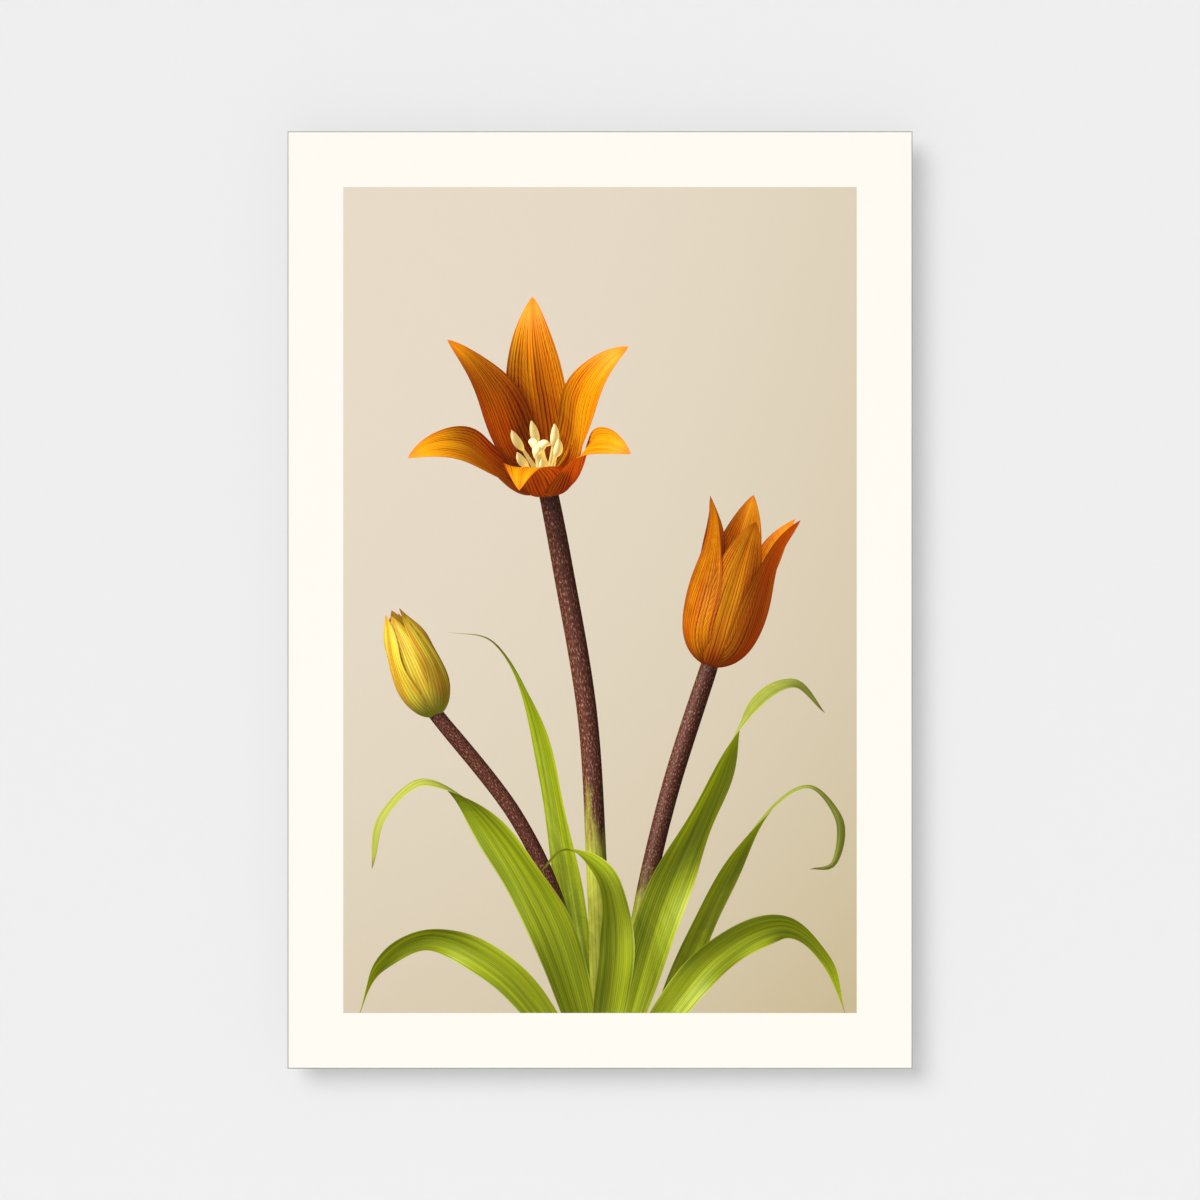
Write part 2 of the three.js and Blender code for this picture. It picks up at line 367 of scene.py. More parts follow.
def petal(kind, base, axes, azimuth, length, width, lean, radius, sway, turn, seed):
    """One petal. axes are two side directions and the flower's axis. sway bends it and turn twists it."""
    first, second, axis = axes
    radial = math.cos(azimuth) * first + math.sin(azimuth) * second
    tangential = np.cross(axis, radial)

    # The middle line: its lean, and how far out from the flower's axis and how far up it has come.
    u = np.linspace(0, 1, PETAL_STEPS + 1)
    angle = np.radians(profile(lean, u))
    between = (angle[1:] + angle[:-1]) / 2
    outward, upward = (np.concatenate([[0], np.cumsum(part)]) * length / PETAL_STEPS
                       for part in (np.sin(between), np.cos(between)))
    middle = base + axis * upward[:, None] + radial * (outward + radius)[:, None]
    middle = middle + tangential * (sway * u**2)[:, None]

    # Across it: a curve round the flower's axis, with the crease and the wavy edges on it.
    v = np.linspace(-1, 1, PETAL_COLUMNS)
    half = half_width(u, width, PETAL_OUTLINE)
    bend = np.maximum(outward + radius, TIGHTEST_BEND) * (0.85 + 1.3 * u**3)
    sweep = np.clip(v * (half / bend)[:, None], -1.5, 1.5)
    across = bend[:, None] * np.sin(sweep)
    inward = bend[:, None] * (1 - np.cos(sweep))
    crease = PETAL_CREASE * np.exp(-(v / CREASE_WIDTH) ** 2) * np.sin(np.pi * u)[:, None]
    ripple = PETAL_RIPPLE * np.sin(RIPPLE_WAVES * u + seed * 5.1) * u * half / width
    lift = ripple[:, None] * (v * np.abs(v)) - inward - crease

    twist = (turn * u**2)[:, None]
    face = np.cos(angle)[:, None] * radial - np.sin(angle)[:, None] * axis
    sideways = across * np.cos(twist) - lift * np.sin(twist)
    forward = across * np.sin(twist) + lift * np.cos(twist)
    points = middle[:, None] + tangential * sideways[..., None] + face[:, None] * forward[..., None]
    return Sheet(kind, points, seed)


def flower_axes(direction, roll):
    axis = normalised(np.asarray(direction, dtype=float))
    first = normalised(np.cross(VIEW, axis))
    second = np.cross(axis, first)
    turn = math.radians(roll)
    return (math.cos(turn) * first + math.sin(turn) * second,
            math.cos(turn) * second - math.sin(turn) * first,
            axis)


# The middle line of a petal leans this many degrees off the flower's axis, from its foot to its tip.
STAR_LEAN = [(0, 84), (0.08, 60), (0.2, 30), (0.4, 14), (0.6, 22), (0.75, 40), (0.88, 64), (1, 92)]
CUP_LEAN = [(0, 84), (0.1, 54), (0.25, 19), (0.45, -2), (0.62, -4), (0.78, 6), (0.9, 20), (1, 32)]
BUD_LEAN = [(0, 80), (0.12, 42), (0.3, 12), (0.5, -7), (0.7, -17), (0.85, -23), (1, -16)]

# The petals of a whorl: their length and width against the flower's, how many degrees further their tips
# open, and how far out their feet are.
OUTER_WHORL = (1.0, 1.0, 4.0, 1.8)
INNER_WHORL = (0.96, 0.93, 0.0, 0.4)

# How far a petal of a loose flower may drift.
OPENING_DRIFT = 9.0             # degrees at its tip
AZIMUTH_DRIFT = 0.08            # radians round the flower
LENGTH_DRIFT = 0.04             # against its length
SWAY_DRIFT = 7.0
TURN_DRIFT = 0.45               # radians at its tip


def tulip(base, direction, roll, length, width, lean, looseness, kind="petal"):
    """Six petals in two whorls: the outer three are wider, and open a little further."""
    axes = flower_axes(direction, roll)
    chance = np.random.default_rng(int(roll))
    sheets = []
    for k in range(6):
        opening, azimuth, growth, sway, turn = looseness * chance.uniform(-1, 1, 5)
        length_share, width_share, wider, radius = INNER_WHORL if k % 2 else OUTER_WHORL
        opens = OPENING_DRIFT * opening + wider * looseness
        sheets.append(petal(
            kind, base, axes,
            azimuth=k * math.pi / 3 + AZIMUTH_DRIFT * azimuth,
            length=length * length_share * (1 + LENGTH_DRIFT * growth),
            width=width * width_share,
            lean=[(place, value + opens * place) for place, value in lean],
            radius=radius,
            sway=SWAY_DRIFT * sway,
            turn=TURN_DRIFT * turn,
            seed=k + roll / 9))
    return sheets


# The radius at places along each small part in a flower's middle.
FILAMENT = [(0, 2.0), (0.5, 1.6), (1, 1.0)]
ANTHER = [(0, 0.7), (0.2, 2.3), (0.7, 2.3), (1, 0.5)]
PISTIL = [(0, 4.6), (0.5, 4.2), (0.85, 3.4), (1, 3.8)]
LOBE = [(0, 2.8), (0.5, 2.9), (1, 0.8)]


def stamens(base, direction, roll, length):
    """Six filaments with long anthers round a three-lobed pistil."""
    first, second, axis = flower_axes(direction, roll)

    def spokes(count, start):
        angles = [k * math.tau / count + start for k in range(count)]
        return [math.cos(angle) * first + math.sin(angle) * second for angle in angles]

    parts = []
    for k, out in enumerate(spokes(6, 0.3)):
        reach = length * (0.90 + 0.10 * math.sin(4.1 * k))
        tip = base + out * 11.0 + axis * reach
        filament = [base + out * 2.2 + axis * 2, base + out * 6.0 + axis * reach * 0.5, tip]
        parts.append(tube("cream", filament, FILAMENT, k, 20, 14))
        end = tip + axis * 19 + out * 5.0
        anther = [tip - axis * 1.0, (tip + end) / 2 + out, end]
        parts.append(tube("anther", anther, ANTHER, k, 26, 16))
    top = base + axis * length * 1.15
    parts.append(tube("cream", [base, (base + top) / 2, top], PISTIL, 7, 24, 20))
    for k, out in enumerate(spokes(3, 0.9)):
        lobe = [top - axis * 2.0, top + out * 4.2 + axis * 2.4, top + out * 8.0 - axis * 0.4]
        parts.append(tube("cream", lobe, LOBE, 8 + k, 14, 14))
    return parts


def stem(points, foot, neck, flower, seed):
    """A stem of radius foot to neck that runs a little way into its flower."""
    base, direction = flower
    inside = base + 4.0 * normalised(np.asarray(direction, dtype=float))
    radii = [(0, foot), (0.45, neck), (0.9, neck), (1, neck * 0.95)]
    return tube("stem", points + [base, inside], radii, seed, 90, 44)


# Each flower: where it joins its stem, and which way it points.
OPEN_FLOWER = ((-34.0, 338.0, 22.0), (-0.14, 0.60, 0.78))
CUP_FLOWER = ((70.0, 222.0, -6.0), (0.26, 0.94, 0.20))
BUD_FLOWER = ((-104.0, 190.0, -14.0), (-0.40, 0.91, 0.06))

# Each stem: the points along it below its flower, its radius at the foot and the neck, and the flower.
STEMS = [
    ([(2, -14, 0), (-2, 90, 3), (-8, 190, 8), (-24, 286, 12)], 7.4, 6.4, OPEN_FLOWER),
    ([(18, -14, -10), (26, 60, -12), (44, 140, -12)], 6.6, 5.8, CUP_FLOWER),
    ([(-12, -14, -18), (-24, 60, -20), (-54, 126, -18)], 5.8, 4.9, BUD_FLOWER),
]

# Each leaf: the points along its middle, its width, its twist, and the height of its waves.
LEAVES = [
    ([(-8, -20, 16), (-34, 60, 36), (-74, 124, 44), (-112, 150, 34), (-140, 126, 22), (-146, 92, 16)],
     19.0, [-18, -12, 10, 44, 76, 120, 150], 3.5),
    ([(14, -20, 20), (40, 70, 40), (72, 144, 42), (96, 196, 30), (124, 212, 16), (144, 192, 8)],
     18.0, [16, 6, -12, -40, -76, -118, -150], 3.0),
    ([(-20, -24, 26), (-62, 26, 42), (-108, 48, 40), (-142, 30, 26), (-156, -6, 18)],
     14.0, [-18, -6, 20, 48, 82], 2.4),
    ([(26, -24, 26), (72, 34, 42), (116, 56, 38), (146, 34, 26), (158, -4, 18)],
     15.0, [14, 4, -24, -52, -84], 2.4),
    ([(-4, -20, -28), (-22, 96, -40), (-40, 186, -38), (-66, 236, -26), (-98, 244, -14)],
     12.0, [14, 18, 34, 62, 100], 1.6),
    ([(34, -20, -28), (74, 76, -40), (106, 128, -40), (134, 146, -34), (154, 124, -26), (150, 96, -20),
      (134, 92, -16)], 12.0, [-8, -16, -40, -66, -90, -130, -160], 1.6),
    ([(2, -24, 34), (10, 40, 54), (4, 84, 60), (-20, 104, 50), (-40, 88, 42)],
     15.0, [4, -6, -20, -64, -118], 2.0),
]


def plants():
    """Two tulips in flower, one in bud, and their leaves, rising from below the picture's lower edge."""
    sheets = tulip(*OPEN_FLOWER, roll=14, length=132.0, width=33.0, lean=STAR_LEAN, looseness=1.0)
    sheets += stamens(*OPEN_FLOWER, roll=14, length=34.0)
    sheets += tulip(*CUP_FLOWER, roll=32, length=124.0, width=31.0, lean=CUP_LEAN, looseness=0.4)
    sheets += tulip(*BUD_FLOWER, roll=25, length=82.0, width=20.0, lean=BUD_LEAN, looseness=0.2, kind="bud")
    sheets += [stem(*shape, seed) for seed, shape in enumerate(STEMS, 1)]
    sheets += [leaf(*shape, seed) for seed, shape in enumerate(LEAVES, 1)]
    return sheets


# ---- Picture: sight and light ----

EYE = 400.0                     # sight rays start at this Z
RAY_LIFT = 0.3                  # a shadow ray starts this far off the surface
RAY_LENGTH = 260.0
LEAST_AREA = 1e-12              # keeps the corners' shares finite in a triangle without area


class Garden:
    """All the sheets as one set of triangles that rays can be cast at.

    A triangle's label is twice its sheet's number, plus 1 if its front faces the viewer.
    """

    def __init__(self, sheets):
        self.sheets = sheets
        self.points = np.concatenate([sheet.points.reshape(-1, 3) for sheet in sheets])
        self.normals = np.concatenate([sheet.normals.reshape(-1, 3) for sheet in sheets])
        self.uv = np.concatenate([sheet.uv.reshape(-1, 2) for sheet in sheets])
        firsts = np.cumsum([0] + [sheet.uv[..., 0].size for sheet in sheets])
        corners = [sheet.triangles() + first for sheet, first in zip(sheets, firsts)]
        self.triangles = np.concatenate(corners)
        self.owner = np.repeat(np.arange(len(sheets)), [len(corner) for corner in corners])
        a, b, c = self.points[self.triangles].transpose(1, 0, 2)
        self.label = 2 * self.owner + (np.cross(b - a, c - a)[:, 2] > 0)
        self.tree = BVHTree.FromPolygons(self.points.tolist(), self.triangles.tolist(), all_triangles=True)

    def look(self, places):
        """What the viewer sees at each place: the triangle's number and label, or -1, and the point."""
        down = Vector((0, 0, -1))
        numbers = np.full(len(places), -1)
        points = np.zeros((len(places), 3))
        for i, (x, y) in enumerate(places.tolist()):
            spot, _, number, _ = self.tree.ray_cast(Vector((x, y, EYE)), down)
            if number is not None:
                numbers[i] = number
                points[i] = spot
        return numbers, np.where(numbers < 0, -1, self.label[numbers]), points

    def details(self, numbers, points):
        """The interpolated normal, and the place on the sheet, for points on triangles."""
        corner = self.triangles[numbers]
        a, b, c = self.points[corner].transpose(1, 0, 2)
        whole = np.cross(b - a, c - a)
        area = np.maximum((whole * whole).sum(1), LEAST_AREA)
        share_b = (np.cross(points - a, c - a) * whole).sum(1) / area
        share_c = (np.cross(b - a, points - a) * whole).sum(1) / area
        shares = np.stack([1 - share_b - share_c, share_b, share_c], axis=1)[..., None]
        return normalised((self.normals[corner] * shares).sum(1)), (self.uv[corner] * shares).sum(1)

    def open_sky(self, points, normals, directions):
        """For each point and direction, 1 where nothing stands in the way."""
        sky = np.zeros((len(points), len(directions)), dtype=np.float32)
        rays = [Vector(direction) for direction in directions.tolist()]
        sides = (normals @ directions.T >= 0).tolist()
        lower, upper = ((points + lift * normals).tolist() for lift in (-RAY_LIFT, RAY_LIFT))
        for i, (below, above) in enumerate(zip(lower, upper)):
            starts = (Vector(below), Vector(above))
            for k, (ray, side) in enumerate(zip(rays, sides[i])):
                if self.tree.ray_cast(starts[side], ray, RAY_LENGTH)[0] is None:
                    sky[i, k] = 1.0
        return sky


def spread_directions(count):
    """Directions spread evenly over the sphere."""
    k = np.arange(count) + 0.5
    height = 1 - 2 * k / count
    turn = math.pi * (1 + math.sqrt(5)) * k
    ring = np.sqrt(1 - height**2)
    return np.stack([ring * np.cos(turn), ring * np.sin(turn), height], axis=1)


KEY_DIRECTION = normalised(np.array([-0.62, 0.58, 0.53]))
KEY_SOFTNESS = 22.0             # degrees from the middle of the key light to its edge
KEY_LIGHT = 1.74
KEY_RAYS = 480                  # round the whole sphere, of which the key keeps its share
FILL_LIGHT = 0.15
FILL_RAYS = 44
FILL_EVEN = 0.50                # its strength, and how that grows along X, Y and Z
FILL_SLOPE = (-0.15, 0.35, 0.30)
FILL_LEAST = 0.06
SHINE_POWER = 26


def studio_light():
    """Directions to the studio's light, and how much comes from each: a soft key, upper left, and a fill."""
    broad = spread_directions(FILL_RAYS)
    fill = np.maximum(FILL_EVEN + broad @ FILL_SLOPE, FILL_LEAST)
    fill *= FILL_LIGHT * 4 * np.pi / len(broad)
    key = spread_directions(KEY_RAYS)
    key = key[key @ KEY_DIRECTION > math.cos(math.radians(KEY_SOFTNESS))]
    return np.concatenate([broad, key]), np.concatenate([fill, np.full(len(key), KEY_LIGHT / len(key))])


# For each kind of sheet: the light that it lets through from behind, the light that its neighbours throw
# back at it where they shade it, the tint of its own shade, and its gloss.
SURFACES = {
    "petal": ((0.46, 0.22, 0.04), (0.17, 0.055, 0.006), (1.10, 0.80, 0.55), 0.04),
    "bud": ((0.22, 0.15, 0.04), (0.18, 0.13, 0.03), (1.0, 0.92, 0.7), 0.08),
    "leaf": ((0.44, 0.42, 0.06), (0.12, 0.13, 0.02), (1, 1, 1), 0.10),
    "stem": ((0, 0, 0), (0.07, 0.06, 0.03), (1, 1, 1), 0.10),
    "cream": ((0.60, 0.52, 0.28), (0.62, 0.46, 0.20), (1, 1, 1), 0.06),
    "anther": ((0.60, 0.52, 0.28), (0.62, 0.46, 0.20), (1, 1, 1), 0.03),
}
FULL_LIGHT = 0.8                # with less on it than this, a sheet takes on the tint of its shade


def lit(garden, points, normals, kinds):
    """The light on each point, as a colour, and its gloss."""
    directions, strength = studio_light()
    sky = garden.open_sky(points, normals, directions)
    slope = normals @ directions.T
    front = (sky * np.maximum(slope, 0) * strength).sum(1)
    back = (sky * np.maximum(-slope, 0) * strength).sum(1)
    shut = ((1 - sky) * np.abs(slope) * strength).sum(1)
    halfway = np.maximum(normals @ normalised(directions + VIEW).T, 0)
    shine = (sky * halfway**SHINE_POWER * np.maximum(slope, 0) * strength).sum(1)
    through, thrown, tint, gloss = (np.array(part) for part in zip(*[SURFACES[kind] for kind in kinds]))
    colour = front[:, None] + back[:, None] * through + shut[:, None] * thrown
    dark = np.clip(1 - front / FULL_LIGHT, 0, 1)[:, None]
    return colour * (1 + dark * (tint - 1)), shine * gloss


# ---- Picture: drawing it flat ----

POINT_SPACING = 1.15            # between sample points on a plant
GROUND_SPACING = 12.0
ROW_STEP = 0.866                # from row to row, against the spacing
OUTLINE_CLEARANCE = 0.55        # no sample point lies nearer to an outline
JUNCTION_SPACING = 0.32         # between the extra points where two sheets run into each other
JUNCTION_REACH = 2              # how many of them there are to each side
WELD = 0.002                    # points nearer than this are made one
SHORTEST_OUTLINE = 0.02         # also how far above its segment a sight ray starts
SHORTEST_SHARE = 1e-4           # of a segment inside the picture
EDGE_LIFT = 0.12                # a sight ray from an outline starts this far off the sheet
STEPS_IN = (0.04, 0.15, 0.4)    # how far into its triangle a corner's sample is looked for


def seen_outlines(garden, width, height):
    """The outline segments that the viewer sees inside the picture, as flat end points."""
    found = [sheet.outlines() for sheet in garden.sheets]
    segments, normals = (np.concatenate(part) for part in zip(*found))
    long = np.linalg.norm(segments[:, 1, :2] - segments[:, 0, :2], axis=1) > SHORTEST_OUTLINE
    segments, normals = segments[long], normals[long]
    middle = segments.mean(1) + VIEW * SHORTEST_OUTLINE
    up = Vector((0, 0, 1))
    seen = np.zeros(len(segments), dtype=bool)
    for lift in (-EDGE_LIFT, EDGE_LIFT):
        starts = (middle + lift * normals).tolist()
        seen |= np.array([garden.tree.ray_cast(Vector(start), up)[0] is None for start in starts])
    return clipped(segments[seen][:, :, :2], width, height)


def clipped(segments, width, height):
    """Cuts the segments at the picture's edges."""
    start, step = segments[:, 0], segments[:, 1] - segments[:, 0]
    move = np.where(np.abs(step) < TINY, TINY, step)
    one, two = ((corner - start) / move for corner in ((-width / 2, 0.0), (width / 2, height)))
    enter = np.maximum(np.minimum(one, two).max(1), 0)[:, None]
    leave = np.minimum(np.maximum(one, two).min(1), 1)[:, None]
    inside = np.stack([start + step * enter, start + step * leave], axis=1)
    return inside[(leave - enter).ravel() > SHORTEST_SHARE]


def clear_of(places, others, size):
    """The places that share no square, size across, with any of the others."""
    def squares(points):
        return [tuple(square) for square in np.floor(points / size).astype(int).tolist()]

    taken = set(squares(others))
    return places[np.array([square not in taken for square in squares(places)])]


def even_rows(spacing, width, height):
    x = np.arange(-width / 2 + spacing, width / 2 - spacing / 2, spacing)
    y = np.arange(spacing, height - spacing / 2, spacing * ROW_STEP)
    grid = np.stack(np.meshgrid(x, y), axis=-1)
    grid[1::2, :, 0] += spacing / 2
    return grid.reshape(-1, 2)


def sample_points(garden, outlines, width, height):
    """Points inside the plants, in even rows, and a coarser set for the bare ground."""
    fine, coarse = (even_rows(spacing, width, height) for spacing in (POINT_SPACING, GROUND_SPACING))
    fine = fine[garden.look(fine)[0] >= 0]
    coarse = coarse[garden.look(coarse)[0] < 0]
    drawn = np.concatenate([outlines.reshape(-1, 2), outlines.mean(1)])
    return clear_of(np.concatenate([fine, coarse]), drawn, OUTLINE_CLEARANCE)


def flat_triangles(places, outlines, rectangles):
    """Cuts the sheet's front into triangles along the outlines and the rectangles' edges."""
    points = [Vector(place) for place in places.tolist()]
    edges = []
    for x0, y0, x1, y1 in rectangles:
        first = len(points)
        points += [Vector(corner) for corner in ((x0, y0), (x1, y0), (x1, y1), (x0, y1))]
        edges += [(first + k, first + (k + 1) % 4) for k in range(4)]
    first = len(points)
    points += [Vector(end) for end in outlines.reshape(-1, 2).tolist()]
    edges += [(first + k, first + k + 1) for k in range(0, 2 * len(outlines), 2)]
    flat, _, faces = delaunay_2d_cdt(points, edges, [], 0, WELD, False)[:3]
    flat = np.array([tuple(point) for point in flat])
    cells = np.round(flat / WELD).astype(int)
    _, kept, welded = np.unique(cells, axis=0, return_index=True, return_inverse=True)
    flat = flat[kept]
    faces = welded.ravel()[np.array([face for face in faces if len(face) == 3])]
    faces = faces[(faces != np.roll(faces, 1, axis=1)).all(1)]
    a, b, c = flat[faces].transpose(1, 2, 0)
    (x1, y1), (x2, y2) = b - a, c - a
    area = x1 * y2 - y1 * x2
    faces[area < 0] = faces[area < 0][:, ::-1]
    return flat, faces[np.abs(area) > TINY]


def junction_points(flat, faces, label, outlines):
    """Close points where two sheets run into each other, along lines that are no sheet's own outline."""
    edges = np.sort(np.concatenate([faces[:, [0, 1]], faces[:, [1, 2]], faces[:, [2, 0]]]), axis=1)
    sides = np.tile(label, 3)
    order = np.lexsort(edges.T)
    edges, sides = edges[order], sides[order]
    shared = (edges[1:] == edges[:-1]).all(1)
    joined = shared & (sides[1:] != sides[:-1]) & (np.minimum(sides[1:], sides[:-1]) >= 0)
    middle = clear_of(flat[edges[:-1][joined]].mean(1), outlines.mean(1), POINT_SPACING)
    reach = np.arange(-JUNCTION_REACH, JUNCTION_REACH + 1) * JUNCTION_SPACING
    around = np.stack(np.meshgrid(reach, reach), axis=-1).reshape(-1, 2)
    cells = ((middle[:, None] + around) / JUNCTION_SPACING).round().reshape(-1, 2)
    return np.unique(cells, axis=0) * JUNCTION_SPACING


BARE_LIGHT = (1.0, 1.0, 1.0, 0.0)   # white light and no gloss, where no plant is drawn
BARE_PLACE = (0.0, 0.0, 0.0)


def plant_corners(garden, flat, faces, numbers, label, spots):
    """The light, and the place on its sheet, at each corner of each triangle that shows a plant."""
    rows = np.repeat(np.nonzero(label >= 0)[0], 3)
    columns = np.tile([0, 1, 2], len(rows) // 3)

    # One sample for each point and label, taken a little way into the triangle.
    key = faces[rows, columns] * (label.max() + 1) + label[rows]
    _, pick, back = np.unique(key, return_index=True, return_inverse=True)
    row = rows[pick]
    corner, middle = flat[faces[row, columns[pick]]], flat[faces[row]].mean(1)
    found, point = numbers[row], spots[row]
    missing = np.arange(len(row))
    for share in STEPS_IN:
        number, shown, spot = garden.look(corner[missing] * (1 - share) + middle[missing] * share)
        good = shown == label[row[missing]]
        found[missing[good]], point[missing[good]] = number[good], spot[good]
        missing = missing[~good]

    normal, uv = garden.details(found, point)
    normal *= np.where(normal[:, 2:] < 0, -1, 1)
    sheets = [garden.sheets[owner] for owner in garden.owner[found]]
    colour, gloss = lit(garden, point, normal, [sheet.kind for sheet in sheets])
    light = np.tile(BARE_LIGHT, (len(faces), 3, 1))
    place = np.tile(BARE_PLACE, (len(faces), 3, 1))
    light[rows, columns] = np.column_stack([colour, gloss])[back]
    place[rows, columns] = np.column_stack([uv, [sheet.seed for sheet in sheets]])[back]
    return light, place


INKS = ["paper", "ground", "petal", "petal_inside", "bud", "leaf", "leaf_under", "stem", "cream", "anther"]
BACK_INKS = {"petal": "petal_inside", "leaf": "leaf_under"}


def draw(garden, width, height, sheet_box):
    """The flat picture: points, triangles, an ink for each triangle, and light and place at each corner."""
    outlines = seen_outlines(garden, width, height)
    rectangles = [sheet_box, (-width / 2, 0.0, width / 2, height)]

    def cut(places):
        """The flat triangles, and what the viewer sees at the middle of each."""
        flat, faces = flat_triangles(places, outlines, rectangles)
        middle = flat[faces].mean(1)
        inside = (np.abs(middle[:, 0]) < width / 2) & (middle[:, 1] > 0) & (middle[:, 1] < height)
        numbers, label, spots = garden.look(middle)
        return flat, faces, inside, numbers, np.where(inside, label, -1), spots

    places = sample_points(garden, outlines, width, height)
    flat, faces, _, _, label, _ = cut(places)
    places = np.concatenate([places, junction_points(flat, faces, label, outlines)])
    flat, faces, inside, numbers, label, spots = cut(places)
    light, place = plant_corners(garden, flat, faces, numbers, label, spots)

    both_sides = [(BACK_INKS.get(sheet.kind, sheet.kind), sheet.kind) for sheet in garden.sheets]
    by_label = np.array([INKS.index(name) for names in both_sides for name in names])
    bare = np.where(inside, INKS.index("ground"), INKS.index("paper"))
    return flat, faces, np.where(label < 0, bare, by_label[label]), light, place


# ---- Picture: inks ----

class Ink(Material):
    """A matt ink on cotton paper, or the bare paper."""

    def __init__(self, name):
        super().__init__(name, roughness=0.9, specular=0.08)

    def on_paper(self, colour):
        """Gives it this colour and the paper's fine tooth."""
        self.set("Base Color", self.multiply(colour, (PRINT_GAIN,) * 3))
        self.bump(self.noise(self.place(), 2600.0, 3.0, 0.6), 0.04 * MM, 0.25)
        return self.material


class PlantInk(Ink):
    """Ink for a plant. u runs along it and v across it, and seed differs from sheet to sheet."""

    def __init__(self, name):
        super().__init__(name)
        self.u, self.v, self.seed = self.split(self.attribute("plant_place", "Vector"))

    def streaks(self, along, across, detail=3.0):
        """Noise drawn out along the plant: about that many patches along it and across half of it."""
        where = self.vector(self.u * along, self.v * across, self.seed)
        return self.noise(where, 1.0, detail, 0.6)

    def wavering(self, amount):
        """v, pushed a little to each side along the plant, and by another amount from line to line."""
        push = self.streaks(3.0, 2.0, 2.0) - 0.5
        uneven = self.streaks(1.1, 7.0, 2.0) - 0.5
        return push * amount + (uneven * (0.9 * amount) + self.v)

    def ribs(self, phase):
        """Lines one unit of phase apart: how dark each is, and the light across the ridge between them."""
        turn = phase * math.tau
        return self.step(self.math("COSINE", turn), 0.10, 1.0), self.math("SINE", turn)

    def relief(self, colour, side, amount):
        """Lightens and darkens the colour on the two sides of each ridge."""
        return self.shaded(colour, side * amount + 1.0)

    def printed(self, colour):
        """The plant's colour under the studio's light."""
        light = self.attribute("studio_light", "Color")
        gloss = self.attribute("studio_light", "Alpha")
        shine = self.mix(gloss, (0.0, 0.0, 0.0), (1.0, 0.98, 0.90))
        return self.on_paper(self.mix(1.0, self.multiply(colour, light), shine, "ADD"))


def petal_ink(name, light, deep, heart, vein, flame, flame_share):
    """Orange, with dark veins along it, feathered ones towards its edges, and a flame up its middle."""
    ink = PlantInk(name)
    u, side = ink.u, abs(ink.v)
    fine = ink.streaks(2.5, 42.0)
    colour = ink.mix(ink.step(ink.streaks(1.6, 2.2), 0.32, 0.66), light, deep)
    colour = ink.mix(ink.band(fine * 0.10 + u, 0.10, 0.26), colour, heart)
    feather = (fine - 0.5) * 1.1 + (1.0 - side) * (1.08 - u)
    colour = ink.mix(ink.step(feather, 0.34, 0.86) * flame_share, colour, flame)

    waver = ink.wavering(0.12)
    main, main_side = ink.ribs(waver * 8.5)
    small, small_side = ink.ribs(abs(waver) * 18.0 - u * 24.0)
    reach = ink.step(u, 0.02, 0.16) * ink.band(u, 0.82, 1.0)
    uneven = ink.step(ink.streaks(2.0, 11.0, 1.0), 0.30, 0.62)
    colour = ink.mix(main * (reach * (uneven * 0.62 + 0.24)), colour, vein)
    colour = ink.mix(small * (ink.step(side, 0.06, 0.5) * (reach * 0.46)), colour, vein)

    burnt = ink.math("MAXIMUM", ink.step(fine * 0.06 + side, 0.90, 1.0), ink.step(u, 0.90, 1.0))
    colour = ink.mix(burnt * 0.5, colour, linear(172, 70, 10))
    colour = ink.relief(ink.relief(colour, main_side, 0.13), small_side, 0.07)
    grain = ink.mix(fine, (0.86, 0.84, 0.80), (1.12, 1.12, 1.10))
    return ink.printed(ink.multiply(colour, grain))


def leaf_ink(name, light, dark, rib):
    """Green stripes along a blade, with a pale edge and a dry tip."""
    ink = PlantInk(name)
    side = abs(ink.v)
    broad = ink.streaks(1.4, 3.2)
    colour = ink.mix(ink.step(broad, 0.34, 0.68), light, dark)
    line, line_side = ink.ribs(ink.wavering(0.03) * 9.0)
    colour = ink.mix(line * (broad * 0.6 + 0.12), colour, rib)
    colour = ink.mix(ink.band(side, 0.02, 0.10) * 0.35, colour, rib)
    colour = ink.mix(ink.step(side, 0.93, 0.99) * 0.5, colour, linear(204, 206, 92))
    colour = ink.mix(ink.step(ink.u, 0.965, 1.0) * 0.8, colour, linear(120, 84, 44))
    colour = ink.relief(colour, line_side, 0.05)
    grain = ink.mix(ink.streaks(2.0, 38.0), (0.84, 0.86, 0.80), (1.13, 1.12, 1.10))
    return ink.printed(ink.multiply(colour, grain))


def stem_ink():
    """Green below, and above it a dark red-brown with fine tan specks."""
    ink = PlantInk("ink_stem")
    line, _ = ink.ribs(ink.v * 8.0)
    green = ink.mix(line * 0.5, linear(188, 190, 66), linear(144, 154, 40))
    speck = ink.streaks(140.0, 20.0, 2.0)
    brown = ink.mix(ink.step(speck, 0.52, 0.72), linear(88, 42, 32), linear(174, 124, 90))
    brown = ink.mix(ink.band(speck, 0.34, 0.46), brown, linear(60, 26, 20))
    height = (ink.streaks(9.0, 3.0) - 0.5) * 0.35 + ink.u
    return ink.printed(ink.mix(ink.step(height, 0.26, 0.44), green, brown))


def bud_ink():
    """A yellow-green bud, flushed with orange, under fine dark veins."""
    ink = PlantInk("ink_bud")
    flush = ink.step(ink.streaks(1.5, 2.0), 0.35, 0.65)
    colour = ink.mix(flush, linear(222, 200, 58), linear(206, 148, 36))
    colour = ink.mix(ink.band(ink.u, 0.05, 0.35), colour, linear(164, 178, 62))
    line, line_side = ink.ribs(ink.wavering(0.08) * 6.0)
    colour = ink.mix(line * (ink.step(ink.u, 0.02, 0.2) * 0.55), colour, linear(138, 96, 26))
    colour = ink.mix(ink.step(ink.u, 0.88, 1.0) * 0.5, colour, linear(196, 92, 30))
    return ink.printed(ink.relief(colour, line_side, 0.07))


